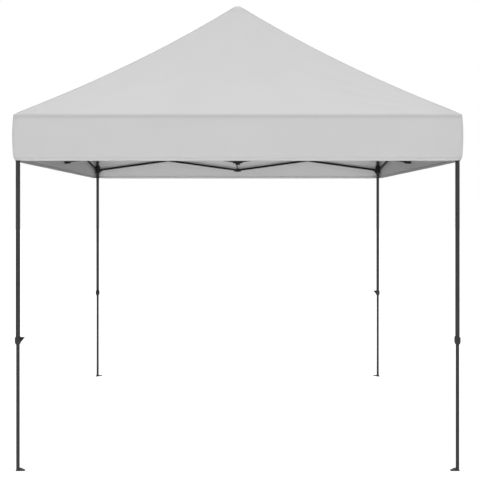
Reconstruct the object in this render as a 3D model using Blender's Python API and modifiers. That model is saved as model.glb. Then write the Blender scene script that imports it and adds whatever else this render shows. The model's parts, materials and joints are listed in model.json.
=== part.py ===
"""Pop up gazebo: four telescopic legs, a scissor frame round the sides, four inner scissors
that meet at a centre hub, a telescopic mast and a hipped canopy with a straight valance.

Metres, +Z up. The origin is on the ground under the mast. Side 0 faces -Y and the others
follow it counter-clockwise, 90 degrees apart. Corner 0 is the left end of side 0.
"""

import math

import bmesh
import bpy
from mathutils import Matrix, Vector

# Overall sizes
CANOPY_SIDE = 3.000
TOP_Z = 3.487
EAVE_Z = 2.380
VALANCE_DROP = 0.309
ROOF_SAG = 0.048
ROOF_TOP_HALF = 0.022
CANOPY_THICK = 0.0012

# Legs
LEG_INSET = 0.02875
LEG_TUBE = 0.025
LEG_WALL = 0.0008
INNER_TUBE = 0.020
INNER_OVERLAP = 0.250
TUBE_CHAMFER = 0.003
ADJUST_HOLES = 4
ADJUST_HOLE_STEP = 0.100
ADJUST_HOLE_RADIUS = 0.004

# Feet
FOOT_SIZE = 0.060
FOOT_NOSE = 0.020
FOOT_THICK = 0.004
PEG_HOLE_RADIUS = 0.0045
PEG_HOLE_IN = 0.010
PEG_HOLE_ALONG = 0.047

# Scissor frame
UPPER_PIN_Z = 2.357
SCISSOR_RISE = 0.196
PIN_OUT_LEG = 0.033
PIN_OUT_MID = 0.028
FOLDED_ANGLE = math.radians(87.0)
BAR_HEIGHT = 0.020
BAR_THICK = 0.010
BAR_WALL = 0.0007
BAR_SPACE = 0.001
PIN_RADIUS = 0.003
PIN_HOLE_RADIUS = 0.0036
PIN_PROUD = 0.0012

# Moulded brackets
EAR_THICK = 0.003
EAR_RADIUS = 0.0095
EAR_SKIRT = 0.018
EAR_CORNER = 0.003
LEG_BRACKET = 0.042
TOP_BRACKET_DEPTH = 0.036
TOP_BRACKET_CROWN = 0.012
SLIDER_UNDER = 0.036
SLIDER_OVER = 0.045
MID_BRACKET = 0.032
MID_SHORT = 0.013
MID_LONG = 0.021
HUB_SIZE = 0.040
HUB_SHORT = 0.014
HUB_LONG = 0.032

# Leg lock
LOCK_BLOCK = 0.035
LOCK_HEIGHT = 0.047
LOCK_LIP = 0.016
LOCK_GAP = 0.006
LOCK_FOOT = 0.027
LOCK_FOOT_TAPER = 0.015
LOCK_CROWN = 0.032
LOCK_CROWN_TAPER = 0.005
LEVER_REACH = 0.027
LEVER_DROP = 0.032
LEVER_WIDTH = 0.012
LEVER_BOSS = 0.0072
LEVER_PIN_OUT = 0.0085
LEVER_EAR = 0.0025

# Slider button
BUTTON_BELOW = 0.0265
BUTTON_STEM = 0.004
BUTTON_HEAD = 0.007
BUTTON_CAP = 0.003
BUTTON_TRAVEL = 0.003
BUTTON_GAP = 0.0005

# Mast
MAST_RADIUS = 0.011
MAST_WALL = 0.001
MAST_TOP_Z = 2.900
HEAD_RADIUS = 0.0096
HEAD_WALL = 0.0008
HEAD_OVERLAP = 0.280
CAP_RADIUS = 0.022
CAP_HEIGHT = 0.034
CAP_UNDER_TOP = 0.008

# Fits
GAP = 0.0003
OVERLAP = 0.002
ROUND_STEPS = 16
PIN_STEPS = 6
HOLE_STEPS = 8
END_STEPS = 4
MERGE = 0.00001
SLIVER_SIDES = 4

# Worked out from the sizes above
HALF = CANOPY_SIDE / 2
LEG_AT = HALF - LEG_INSET
SPAN = LEG_AT - PIN_OUT_LEG - PIN_OUT_MID
BAR_LENGTH = math.hypot(SPAN, SCISSOR_RISE)
REST_ANGLE = math.atan2(SCISSOR_RISE, SPAN)
LOWER_PIN_Z = UPPER_PIN_Z - SCISSOR_RISE
FOLD_DROP = BAR_LENGTH * (math.sin(FOLDED_ANGLE) - math.sin(REST_ANGLE))
LOCK_TOP_Z = LOWER_PIN_Z - SLIDER_UNDER - FOLD_DROP - LOCK_GAP
LOCK_BOTTOM_Z = LOCK_TOP_Z - LOCK_HEIGHT
BAR_OFFSET = (BAR_THICK + BAR_SPACE) / 2
EAR_OFFSET = BAR_THICK / 2 + GAP + EAR_THICK / 2

SIDES = ("front", "right", "back", "left")
CORNERS = ("front_left", "front_right", "back_right", "back_left")


def clear_scene():
    for obj in list(bpy.data.objects):
        bpy.data.objects.remove(obj, do_unlink=True)


def new_collection(name):
    collection = bpy.data.collections.new(name)
    bpy.context.scene.collection.children.link(collection)
    return collection


def make_material(name, colour, roughness, metallic=0.0):
    material = bpy.data.materials.new(name)
    material.use_nodes = True
    shader = material.node_tree.nodes["Principled BSDF"]
    shader.inputs["Base Color"].default_value = (*colour, 1.0)
    shader.inputs["Roughness"].default_value = roughness
    shader.inputs["Metallic"].default_value = metallic
    return material


# Shapes. Each returns a mesh that is still loose, in its own place.


def mesh_from(bm):
    mesh = bpy.data.meshes.new("shape")
    bm.to_mesh(mesh)
    bm.free()
    return mesh


def box(low, high):
    low, high = Vector(low), Vector(high)
    bm = bmesh.new()
    bmesh.ops.create_cube(bm, size=1.0)
    bmesh.ops.scale(bm, vec=high - low, verts=bm.verts)
    bmesh.ops.translate(bm, vec=(low + high) / 2, verts=bm.verts)
    return mesh_from(bm)


def cylinder(radius, low, high, steps, top_radius=None):
    """A cylinder or cone along Z from low to high."""
    bm = bmesh.new()
    bmesh.ops.create_cone(
        bm,
        cap_ends=True,
        segments=steps,
        radius1=radius,
        radius2=radius if top_radius is None else top_radius,
        depth=high - low,
    )
    bmesh.ops.translate(bm, vec=(0, 0, (low + high) / 2), verts=bm.verts)
    return mesh_from(bm)


def arc(centre, radius, start, end, steps):
    """Points on an arc, with the angles in degrees."""
    angles = (math.radians(start + (end - start) * i / steps) for i in range(steps + 1))
    return [(centre[0] + radius * math.cos(a), centre[1] + radius * math.sin(a)) for a in angles]


def prism(outline, low, high):
    """A flat outline in X and Y, extruded along Z from low to high."""
    curve = bpy.data.curves.new("outline", "CURVE")
    curve.dimensions = "2D"
    curve.fill_mode = "BOTH"
    curve.extrude = (high - low) / 2
    spline = curve.splines.new("POLY")
    spline.points.add(len(outline) - 1)
    for point, (x, y) in zip(spline.points, outline):
        point.co = (x, y, 0.0, 1.0)
    spline.use_cyclic_u = True
    obj = bpy.data.objects.new("outline", curve)
    helpers.objects.link(obj)
    graph = bpy.context.evaluated_depsgraph_get()
    mesh = bpy.data.meshes.new_from_object(obj.evaluated_get(graph), depsgraph=graph)
    bpy.data.objects.remove(obj)
    bpy.data.curves.remove(curve)
    bm = bmesh.new()
    bm.from_mesh(mesh)
    bmesh.ops.remove_doubles(bm, verts=bm.verts, dist=MERGE)
    bmesh.ops.recalc_face_normals(bm, faces=bm.faces)
    bmesh.ops.translate(bm, vec=(0, 0, (low + high) / 2), verts=bm.verts)
    return mesh_from(bm)


def square_prism(side, low, high, chamfer):
    """A square bar along Z, centred on the axis, with its long edges chamfered."""
    inner = side / 2 - chamfer
    corners = []
    for turn, (x, y) in enumerate(((1, 1), (-1, 1), (-1, -1), (1, -1))):
        corners += arc((inner * x, inner * y), chamfer, 90 * turn, 90 * turn + 90, 1)
    return prism(corners, low, high)


def moved(mesh, matrix):
    mesh.transform(matrix)
    return mesh


def shifted(mesh, x=0.0, y=0.0, z=0.0):
    return moved(mesh, Matrix.Translation((x, y, z)))


def upright(mesh):
    """Turns an outline drawn in X and Y so that its Y points up, with its thickness along Y."""
    return moved(mesh, Matrix.Rotation(math.radians(90), 4, "X"))


def turned(mesh, quarter):
    return moved(mesh, Matrix.Rotation(quarter * math.pi / 2, 4, "Z"))


def boolean(mesh, tools, operation):
    """Cuts or joins, and closes the slivers that the solver leaves open along straight edges."""
    body = bpy.data.objects.new("body", mesh)
    helpers.objects.link(body)
    made = [body]
    for tool in tools:
        cutter = bpy.data.objects.new("tool", tool)
        helpers.objects.link(cutter)
        made.append(cutter)
        modifier = body.modifiers.new("boolean", "BOOLEAN")
        modifier.operation = operation
        modifier.solver = "EXACT"
        modifier.object = cutter
    graph = bpy.context.evaluated_depsgraph_get()
    result = bpy.data.meshes.new_from_object(body.evaluated_get(graph), depsgraph=graph)
    for obj in made:
        bpy.data.objects.remove(obj)
    bm = bmesh.new()
    bm.from_mesh(result)
    bmesh.ops.remove_doubles(bm, verts=bm.verts, dist=MERGE)
    bmesh.ops.dissolve_degenerate(bm, edges=bm.edges, dist=MERGE)
    bmesh.ops.holes_fill(bm, edges=bm.edges, sides=SLIVER_SIDES)
    return mesh_from(bm)


def joined(mesh, *tools):
    return boolean(mesh, tools, "UNION")


def cut(mesh, *tools):
    return boolean(mesh, tools, "DIFFERENCE")


# Scissor bars


def bar(start, end, stud=False):
    """A hollow bar along X with its pins at start and end, open at both rounded ends.

    The origin is at x = 0. With a stud, the crossing rivet stands at the middle towards +Y.
    """
    radius = BAR_HEIGHT / 2
    outline = arc((end, 0), radius, -90, 90, END_STEPS) + arc((start, 0), radius, 90, 270, END_STEPS)
    body = upright(prism(outline, -BAR_THICK / 2, BAR_THICK / 2))
    reach = radius + OVERLAP
    hollow = box(
        (start - reach, BAR_WALL - BAR_THICK / 2, BAR_WALL - radius),
        (end + reach, BAR_THICK / 2 - BAR_WALL, radius - BAR_WALL),
    )
    middle = (start + end) / 2
    pins = (start, end) if stud else (start, middle, end)
    holes = [
        shifted(upright(cylinder(PIN_HOLE_RADIUS, -BAR_THICK, BAR_THICK, HOLE_STEPS)), x=x)
        for x in pins
    ]
    body = cut(body, hollow, *holes)
    if not stud:
        return body
    outer_end = BAR_THICK / 2 + PIN_PROUD
    rivet = upright(cylinder(PIN_RADIUS, -2 * BAR_OFFSET - outer_end, outer_end, PIN_STEPS))
    return joined(body, shifted(rivet, x=middle))


def clevis(core_half, pin_out, plane, z, quarter, skirted=False):
    """Two ears and the rivet between them, reaching along X and then turned by quarters.

    plane is the Y of the bar that the ears hold. Skirted ears reach further down.
    """
    low = core_half - OVERLAP
    tip = pin_out + EAR_RADIUS
    if skirted:
        outline = [(low, -EAR_SKIRT), (tip - EAR_CORNER, -EAR_SKIRT), (tip, EAR_CORNER - EAR_SKIRT)]
        outline += arc((pin_out, 0), EAR_RADIUS, 0, 90, END_STEPS // 2)
    else:
        outline = [(low, -EAR_RADIUS)] + arc((pin_out, 0), EAR_RADIUS, -90, 90, END_STEPS)
    outline.append((low, EAR_RADIUS))
    ear = (-EAR_THICK / 2, EAR_THICK / 2)
    end = EAR_OFFSET + EAR_THICK / 2 + PIN_PROUD
    parts = [shifted(upright(prism(outline, *ear)), y=side * EAR_OFFSET) for side in (-1, 1)]
    parts.append(shifted(upright(cylinder(PIN_RADIUS, -end, end, PIN_STEPS)), x=pin_out))
    return [turned(shifted(part, y=plane, z=z), quarter) for part in parts]


# Pieces at a leg. Each is drawn at corner 0, with the leg's axis on the Z axis.

CROSSING_SIDE = -BAR_OFFSET  # bars that carry the crossing rivet lie outside the frame's plane
PLAIN_SIDE = BAR_OFFSET  # the other bars lie inside it


def leg_clevises(core_half, plane, z, skirted=False):
    """Ears for the bar of side 0, along +X, and for that of side 3, along +Y."""
    along_x = clevis(core_half, PIN_OUT_LEG, plane, z, 0, skirted)
    along_y = clevis(core_half, PIN_OUT_LEG, -plane, z, 1, skirted)
    return along_x + along_y


def lock_block():
    """The collar under the outer tube, which narrows at its crown and more at its foot."""
    bm = bmesh.new()
    bm.from_mesh(square_prism(LOCK_BLOCK, LOCK_BOTTOM_Z, LOCK_TOP_Z, TUBE_CHAMFER))
    foot_z = LOCK_BOTTOM_Z + LOCK_FOOT_TAPER
    crown_z = LOCK_TOP_Z - LOCK_CROWN_TAPER
    for z in (foot_z, crown_z):
        everything = bm.verts[:] + bm.edges[:] + bm.faces[:]
        bmesh.ops.bisect_plane(bm, geom=everything, plane_co=(0, 0, z), plane_no=(0, 0, 1))
    foot = [vert for vert in bm.verts if vert.co.z < foot_z - OVERLAP]
    crown = [vert for vert in bm.verts if vert.co.z > crown_z + OVERLAP]
    for ring, side in ((foot, LOCK_FOOT), (crown, LOCK_CROWN)):
        share = side / LOCK_BLOCK
        bmesh.ops.scale(bm, vec=(share, share, 1), verts=ring)
    return mesh_from(bm)


def leg_tube():
    top = UPPER_PIN_Z - OVERLAP
    body = square_prism(LEG_TUBE, LOCK_BOTTOM_Z + LOCK_LIP, top, TUBE_CHAMFER)
    block = lock_block()
    ears = []
    for side in (-1, 1):
        plane = side * (LEVER_WIDTH / 2 + GAP + LEVER_EAR / 2)
        outline = [(LOCK_BLOCK / 2 - OVERLAP, -LEVER_BOSS)]
        outline += arc((LOCK_BLOCK / 2 + LEVER_PIN_OUT, 0), LEVER_BOSS, -90, 90, END_STEPS)
        outline.append((LOCK_BLOCK / 2 - OVERLAP, LEVER_BOSS))
        ear = upright(prism(outline, -LEVER_EAR / 2, LEVER_EAR / 2))
        ears.append(shifted(ear, y=plane, z=LOCK_TOP_Z - LEVER_BOSS))
    reach = LEVER_WIDTH / 2 + GAP + LEVER_EAR + PIN_PROUD
    pin = upright(cylinder(PIN_RADIUS, -reach, reach, PIN_STEPS))
    pin = shifted(pin, x=LOCK_BLOCK / 2 + LEVER_PIN_OUT, z=LOCK_TOP_Z - LEVER_BOSS)
    bore = LEG_TUBE - 2 * LEG_WALL
    hollow = square_prism(bore, LOCK_BOTTOM_Z + LOCK_LIP, top + OVERLAP, TUBE_CHAMFER - LEG_WALL)
    guide = square_prism(INNER_TUBE + 2 * GAP, LOCK_BOTTOM_Z - OVERLAP, LOCK_TOP_Z, TUBE_CHAMFER)
    return cut(joined(body, block, *ears, pin), hollow, guide)


def inner_leg():
    body = square_prism(INNER_TUBE, FOOT_THICK / 2, LOCK_BOTTOM_Z + INNER_OVERLAP, TUBE_CHAMFER)
    bore = INNER_TUBE - 2 * LEG_WALL
    top = LOCK_BOTTOM_Z + INNER_OVERLAP + OVERLAP
    hollow = square_prism(bore, FOOT_THICK, top, TUBE_CHAMFER - LEG_WALL)
    outline = [
        (0, 0),
        (FOOT_SIZE, 0),
        (FOOT_SIZE, FOOT_NOSE),
        (FOOT_NOSE, FOOT_SIZE),
        (0, FOOT_SIZE),
    ]
    plate = prism(outline, 0, FOOT_THICK)
    holes = []
    for x, y in ((PEG_HOLE_ALONG, PEG_HOLE_IN), (PEG_HOLE_IN, PEG_HOLE_ALONG)):
        hole = cylinder(PEG_HOLE_RADIUS, -OVERLAP, FOOT_THICK + OVERLAP, ROUND_STEPS)
        holes.append(shifted(hole, x=x, y=y))
    plate = shifted(cut(plate, *holes), x=-LEG_TUBE / 2, y=-LEG_TUBE / 2)
    adjust_holes = []
    for number in range(ADJUST_HOLES):
        hole = cylinder(ADJUST_HOLE_RADIUS, bore / 2 - OVERLAP, INNER_TUBE / 2 + OVERLAP, HOLE_STEPS)
        hole = moved(hole, Matrix.Rotation(math.radians(90), 4, "Y"))
        adjust_holes.append(shifted(hole, z=LOCK_BOTTOM_Z - (number + 0.5) * ADJUST_HOLE_STEP))
    return cut(joined(body, plate), hollow, *adjust_holes)


def lock_lever():
    """The origin is on the lever's pin, and the lever reaches out along +X."""
    tip = LEVER_REACH - LEVER_PIN_OUT
    outline = [(tip, LEVER_BOSS), (0, LEVER_BOSS)]
    outline += arc((0, 0), LEVER_BOSS, 90, 200, END_STEPS)[1:]
    outline += [(-LEVER_BOSS + OVERLAP, LEVER_BOSS - LEVER_DROP)]
    outline += [(tip, LEVER_BOSS - OVERLAP)]
    body = upright(prism(outline[::-1], -LEVER_WIDTH / 2, LEVER_WIDTH / 2))
    hole = upright(cylinder(PIN_HOLE_RADIUS, -LEVER_WIDTH, LEVER_WIDTH, HOLE_STEPS))
    return cut(body, hole)


def top_bracket():
    half = LEG_BRACKET / 2
    low = UPPER_PIN_Z - TOP_BRACKET_DEPTH
    block = square_prism(LEG_BRACKET, low, UPPER_PIN_Z + TOP_BRACKET_CROWN, TUBE_CHAMFER)
    socket = square_prism(
        LEG_TUBE + 2 * GAP, low - OVERLAP, UPPER_PIN_Z - OVERLAP + GAP, TUBE_CHAMFER
    )
    return cut(joined(block, *leg_clevises(half, PLAIN_SIDE, UPPER_PIN_Z)), socket)


def slider():
    """The origin is on the pin that its carrying bar turns on."""
    half = LEG_BRACKET / 2
    block = square_prism(LEG_BRACKET, -SLIDER_UNDER, SLIDER_OVER, TUBE_CHAMFER)
    bore = square_prism(
        LEG_TUBE + 2 * GAP, -SLIDER_UNDER - OVERLAP, SLIDER_OVER + OVERLAP, TUBE_CHAMFER
    )
    hole = cylinder(BUTTON_STEM + 2 * GAP, 0, LEG_BRACKET, ROUND_STEPS)
    hole = moved(hole, Matrix.Rotation(math.radians(90), 4, "Y"))
    hole = shifted(hole, z=-BUTTON_BELOW)
    body = cut(joined(block, *leg_clevises(half, CROSSING_SIDE, 0, True)), bore, hole)
    return shifted(body, x=-PIN_OUT_LEG)


def slider_button():
    """The origin is at the middle of the slider's face, and the button points along +X."""
    stem_inside = LEG_BRACKET / 2 - LEG_TUBE / 2 - 2 * GAP - BUTTON_TRAVEL
    face = BUTTON_TRAVEL + BUTTON_GAP
    stem = cylinder(BUTTON_STEM, -stem_inside, face + OVERLAP, ROUND_STEPS)
    head = cylinder(BUTTON_HEAD, face, face + BUTTON_CAP, ROUND_STEPS, BUTTON_HEAD - GAP)
    return moved(joined(stem, head), Matrix.Rotation(math.radians(90), 4, "Y"))


# Connectors in the middle of each side, drawn at side 0 with the axis on the Z axis


def mid_bracket(plane, skirted):
    """Ears for the bars to its left and right and for the inner one, which runs along +Y."""
    half = MID_BRACKET / 2
    block = square_prism(MID_BRACKET, -MID_LONG, MID_SHORT, TUBE_CHAMFER)
    ears = clevis(half, PIN_OUT_MID, plane, 0, 0, skirted)
    ears += clevis(half, PIN_OUT_MID, -plane, 0, 2, skirted)
    ears += clevis(half, PIN_OUT_MID, -plane, 0, 1, skirted)
    return joined(block, *ears)


# The centre: two hubs, the mast and its head


def hub_ears(plane, skirted):
    half = HUB_SIZE / 2
    ears = []
    for quarter in range(4):
        ears += clevis(half, PIN_OUT_LEG, plane, 0, quarter, skirted)
    return ears


def hub_upper():
    block = square_prism(HUB_SIZE, -HUB_SHORT, HUB_SHORT, TUBE_CHAMFER)
    bore = cylinder(MAST_RADIUS + 2 * GAP, -HUB_SIZE, HUB_SIZE, ROUND_STEPS)
    return cut(joined(block, *hub_ears(PLAIN_SIDE, False)), bore)


def hub_lower():
    block = square_prism(HUB_SIZE, -HUB_LONG, HUB_SHORT, TUBE_CHAMFER)
    top = MAST_TOP_Z - LOWER_PIN_Z
    mast = cylinder(MAST_RADIUS, 0, top, ROUND_STEPS)
    hollow = cylinder(MAST_RADIUS - MAST_WALL, HUB_SHORT - OVERLAP, top + OVERLAP, ROUND_STEPS)
    return cut(joined(block, mast, *hub_ears(CROSSING_SIDE, True)), hollow)


def mast_head():
    low = MAST_TOP_Z - HEAD_OVERLAP
    cap_top = TOP_Z - CAP_UNDER_TOP
    cap_low = cap_top - CAP_HEIGHT
    tube = cylinder(HEAD_RADIUS, low, cap_low + CAP_HEIGHT / 2, ROUND_STEPS)
    collar = cylinder(HEAD_RADIUS + OVERLAP, cap_low, cap_low + CAP_HEIGHT / 2, ROUND_STEPS)
    cap = cylinder(HEAD_RADIUS + OVERLAP, cap_low + CAP_HEIGHT / 3, cap_top, ROUND_STEPS, CAP_RADIUS)
    hollow = cylinder(HEAD_RADIUS - HEAD_WALL, low - OVERLAP, cap_low, ROUND_STEPS)
    return cut(joined(tube, collar, cap), hollow)


# Canopy


def roof_height(share):
    """Height of the roof at this share of the way from the flat top to the eave."""
    return TOP_Z - (TOP_Z - EAVE_Z) * share - 4 * ROOF_SAG * share * (1 - share)


def canopy():
    """A square roof turned in four steps, with its valance, open underneath."""
    steps = 7
    outer = [(0.0, TOP_Z)]
    for i in range(steps + 1):
        share = i / steps
        outer.append((ROOF_TOP_HALF + (HALF - ROOF_TOP_HALF) * share, roof_height(share)))
    outer.append((HALF, EAVE_Z - VALANCE_DROP))
    slope = math.atan2(TOP_Z - EAVE_Z, HALF)
    down = CANOPY_THICK / math.cos(slope)
    inner = [(0.0, TOP_Z - down)]
    inner += [(min(u, HALF - CANOPY_THICK), z - down) for u, z in outer[1:-1]]
    inner.append((HALF - CANOPY_THICK, EAVE_Z - VALANCE_DROP))
    profile = [(u * math.sqrt(2), z) for u, z in outer + inner[::-1]]
    bm = bmesh.new()
    corners = [bm.verts.new((u, 0, z)) for u, z in profile]
    for a, b in zip(corners, corners[1:]):
        bm.edges.new((a, b))
    obj = bpy.data.objects.new("profile", mesh_from(bm))
    helpers.objects.link(obj)
    screw = obj.modifiers.new("four_sides", "SCREW")
    screw.angle = math.radians(360)
    screw.steps = 4
    screw.render_steps = 4
    screw.use_merge_vertices = True
    screw.merge_threshold = 0.00005
    graph = bpy.context.evaluated_depsgraph_get()
    mesh = bpy.data.meshes.new_from_object(obj.evaluated_get(graph), depsgraph=graph)
    bpy.data.objects.remove(obj)
    return moved(mesh, Matrix.Rotation(math.radians(45), 4, "Z"))


# Placing


def add(name, mesh, material, matrix=None):
    obj = bpy.data.objects.new(name, mesh)
    if not mesh.materials:
        mesh.materials.append(material)
        mesh.shade_smooth()
        mesh.set_sharp_from_angle(angle=math.radians(35))
    gazebo.objects.link(obj)
    obj.parent = ground
    obj.matrix_world = matrix or Matrix()
    return obj


def side_frame(side):
    """X runs along the side, Y points inwards, and the frame stands at the middle of the gazebo."""
    return Matrix.Rotation(side * math.pi / 2, 4, "Z")


def truss_frame(side):
    """X runs from the centre out to the middle of the side."""
    return Matrix.Rotation((side - 1) * math.pi / 2, 4, "Z")


def tilt(angle):
    """Raises the +X end of a bar by this angle."""
    return Matrix.Rotation(-angle, 4, "Y")


def add_corner(side):
    corner = CORNERS[side]
    at = side_frame(side) @ Matrix.Translation((-LEG_AT, -LEG_AT, 0))
    add(f"leg_tube_{corner}", shapes["leg_tube"], steel, at)
    add(f"inner_leg_{corner}", shapes["inner_leg"], steel, at)
    add(f"top_bracket_{corner}", shapes["top_bracket"], plastic, at)
    pin = Vector((LOCK_BLOCK / 2 + LEVER_PIN_OUT, 0, LOCK_TOP_Z - LEVER_BOSS))
    add(f"lock_lever_{corner}", shapes["lock_lever"], plastic, at @ Matrix.Translation(pin))
    pin = Vector((PIN_OUT_LEG, 0, LOWER_PIN_Z))
    add(f"slider_{corner}", shapes["slider"], plastic, at @ Matrix.Translation(pin))
    face = Vector((LEG_BRACKET / 2, 0, LOWER_PIN_Z - BUTTON_BELOW))
    add(f"slider_button_{corner}", shapes["slider_button"], plastic, at @ Matrix.Translation(face))


def add_side(side):
    name = SIDES[side]
    frame = side_frame(side)
    at = frame @ Matrix.Translation((0, -LEG_AT, UPPER_PIN_Z))
    add(f"upper_connector_{name}", shapes["upper_connector"], plastic, at)
    at = frame @ Matrix.Translation((0, -LEG_AT, LOWER_PIN_Z))
    add(f"lower_connector_{name}", shapes["lower_connector"], plastic, at)
    middle = PIN_OUT_MID + SPAN / 2
    middle_z = (UPPER_PIN_Z + LOWER_PIN_Z) / 2
    for half, way in (("left", -1), ("right", 1)):
        hinge = Matrix.Translation((way * PIN_OUT_MID, PLAIN_SIDE - LEG_AT, LOWER_PIN_Z))
        rising = frame @ hinge @ tilt(way * REST_ANGLE)
        add(f"side_bar_plain_{name}_{half}", shapes[f"plain_{half}"], steel, rising)
        hinge = Matrix.Translation((way * middle, CROSSING_SIDE - LEG_AT, middle_z))
        falling = frame @ hinge @ tilt(-way * REST_ANGLE)
        add(f"side_bar_riveted_{name}_{half}", shapes["riveted"], steel, falling)


def add_truss(side):
    name = SIDES[side]
    frame = truss_frame(side)
    hinge = Matrix.Translation((PIN_OUT_LEG, PLAIN_SIDE, UPPER_PIN_Z))
    falling = frame @ hinge @ tilt(-REST_ANGLE)
    add(f"truss_bar_plain_{name}", shapes["plain_right"], steel, falling)
    middle_z = (UPPER_PIN_Z + LOWER_PIN_Z) / 2
    hinge = Matrix.Translation((PIN_OUT_LEG + SPAN / 2, CROSSING_SIDE, middle_z))
    rising = frame @ hinge @ tilt(REST_ANGLE)
    add(f"truss_bar_riveted_{name}", shapes["riveted"], steel, rising)


clear_scene()
gazebo = new_collection("pop_up_gazebo")
helpers = new_collection("helpers")
ground = bpy.data.objects.new("ground_centre", None)
gazebo.objects.link(ground)

steel = make_material("powder_coated_steel", (0.055, 0.058, 0.063), 0.55)
plastic = make_material("moulded_nylon", (0.012, 0.012, 0.013), 0.50)
fabric = make_material("coated_polyester", (0.65, 0.65, 0.64), 0.85)

shapes = {
    "leg_tube": leg_tube(),
    "inner_leg": inner_leg(),
    "top_bracket": top_bracket(),
    "lock_lever": lock_lever(),
    "slider": slider(),
    "slider_button": slider_button(),
    "upper_connector": mid_bracket(CROSSING_SIDE, False),
    "lower_connector": mid_bracket(PLAIN_SIDE, True),
    "plain_left": bar(-BAR_LENGTH, 0.0),
    "plain_right": bar(0.0, BAR_LENGTH),
    "riveted": bar(-BAR_LENGTH / 2, BAR_LENGTH / 2, stud=True),
}

for quarter in range(4):
    add_corner(quarter)
    add_side(quarter)
    add_truss(quarter)

add("hub_upper", hub_upper(), plastic, Matrix.Translation((0, 0, UPPER_PIN_Z)))
add("hub_lower", hub_lower(), plastic, Matrix.Translation((0, 0, LOWER_PIN_Z)))
add("mast_head", mast_head(), steel)
add("canopy", canopy(), fabric)
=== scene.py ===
"""Looks of the pop up gazebo: its cloth, paint, mouldings, rivets and stitches, built around
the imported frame. Metres, +Z up, with the origin on the ground under the mast. Side 0 faces -Y
and the others follow it counter-clockwise. Corner 0 is the left end of side 0.
"""

import json
import math

import bmesh
import bpy
from mathutils import Matrix, Vector

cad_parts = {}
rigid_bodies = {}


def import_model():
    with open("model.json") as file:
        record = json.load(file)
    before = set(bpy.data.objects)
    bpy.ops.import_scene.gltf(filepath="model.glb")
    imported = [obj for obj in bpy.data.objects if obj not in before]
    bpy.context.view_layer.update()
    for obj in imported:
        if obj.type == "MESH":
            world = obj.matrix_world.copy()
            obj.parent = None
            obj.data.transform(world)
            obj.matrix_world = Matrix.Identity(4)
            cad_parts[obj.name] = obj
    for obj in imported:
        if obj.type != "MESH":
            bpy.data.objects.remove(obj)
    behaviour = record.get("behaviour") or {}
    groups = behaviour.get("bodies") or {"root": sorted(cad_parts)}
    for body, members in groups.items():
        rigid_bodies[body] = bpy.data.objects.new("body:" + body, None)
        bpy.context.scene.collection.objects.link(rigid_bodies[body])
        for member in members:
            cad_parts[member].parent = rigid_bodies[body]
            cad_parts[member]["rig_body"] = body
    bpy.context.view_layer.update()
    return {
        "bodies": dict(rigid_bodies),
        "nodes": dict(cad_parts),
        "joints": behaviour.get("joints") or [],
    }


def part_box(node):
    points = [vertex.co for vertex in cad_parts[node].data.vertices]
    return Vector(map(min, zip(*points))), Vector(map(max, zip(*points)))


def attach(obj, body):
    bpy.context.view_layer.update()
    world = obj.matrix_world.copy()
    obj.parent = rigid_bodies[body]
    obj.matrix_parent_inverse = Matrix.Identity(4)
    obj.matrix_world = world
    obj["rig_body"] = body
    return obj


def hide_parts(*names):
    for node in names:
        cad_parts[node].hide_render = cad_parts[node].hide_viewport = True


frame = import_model()

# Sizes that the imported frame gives

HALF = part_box("canopy")[1].x
TOP_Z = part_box("canopy")[1].z
HEM_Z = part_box("canopy")[0].z
UPPER_PIN_Z = sum(corner.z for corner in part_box("hub_upper")) / 2
LOWER_PIN_Z = next(j["pos_m"][2] for j in frame["joints"] if j["name"] == "lower_hub_pin")
LOCK_BOTTOM_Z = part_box("leg_tube_front_left")[0].z

# Sizes repeated from the part

EAVE_Z = 2.380
ROOF_SAG = 0.048
ROOF_TOP_HALF = 0.022
LEG_AT = HALF - 0.02875
LEG_TUBE = 0.025
INNER_TUBE = 0.020
LOCK_BLOCK = 0.035
LOCK_HEIGHT = 0.047
LEVER_REACH = 0.027
LEVER_DROP = 0.032
LEVER_WIDTH = 0.012
HUB_SHORT = 0.014
CAP_HEIGHT = 0.034
CAP_UNDER_TOP = 0.008
SLIDER_UNDER = 0.036
SLIDER_OVER = 0.045
TOP_BRACKET_DEPTH = 0.036
FOOT_THICK = 0.004
LEG_BRACKET = 0.042
PIN_OUT_LEG = 0.033
PIN_OUT_MID = 0.028
BAR_OFFSET = 0.0055
EAR_FACE = 0.0083
CROSSING_FACE = 0.0105
LEVER_PIN_OUT = 0.0085
LEVER_PIN_UNDER_TOP = 0.0072
LEVER_EAR_FACE = 0.0088
SPAN = LEG_AT - PIN_OUT_LEG - PIN_OUT_MID
FOLD_DROP = 1.22585

SIDES = ("front", "right", "back", "left")
CORNERS = ("front_left", "front_right", "back_right", "back_left")


def side_frame(side):
    """X runs along the side and Y points inwards, from the middle of the gazebo."""
    return Matrix.Rotation(side * math.pi / 2, 4, "Z")


def corner_frame(side):
    """The axis of the leg at the left end of this side."""
    return side_frame(side) @ Matrix.Translation((-LEG_AT, -LEG_AT, 0))


def truss_frame(side):
    """X runs from the centre out to the middle of the side."""
    return Matrix.Rotation((side - 1) * math.pi / 2, 4, "Z")


# Materials


def colour(code):
    """An sRGB hex code as the linear colour that a shader takes."""
    channels = [int(code[i : i + 2], 16) / 255 for i in (1, 3, 5)]
    linear = [c / 12.92 if c <= 0.04045 else ((c + 0.055) / 1.055) ** 2.4 for c in channels]
    return (*linear, 1.0)


def add_node(tree, kind, inputs=None, **settings):
    """Adds a node. A value in inputs is a number or colour, or another node's socket."""
    made = tree.nodes.new(kind)
    for name, value in settings.items():
        setattr(made, name, value)
    for name, value in (inputs or {}).items():
        if isinstance(value, bpy.types.NodeSocket):
            tree.links.new(value, made.inputs[name])
        else:
            made.inputs[name].default_value = value
    return made


def new_material(name):
    material = bpy.data.materials.new(name)
    material.use_nodes = True
    material.node_tree.nodes.clear()
    return material, material.node_tree


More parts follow.
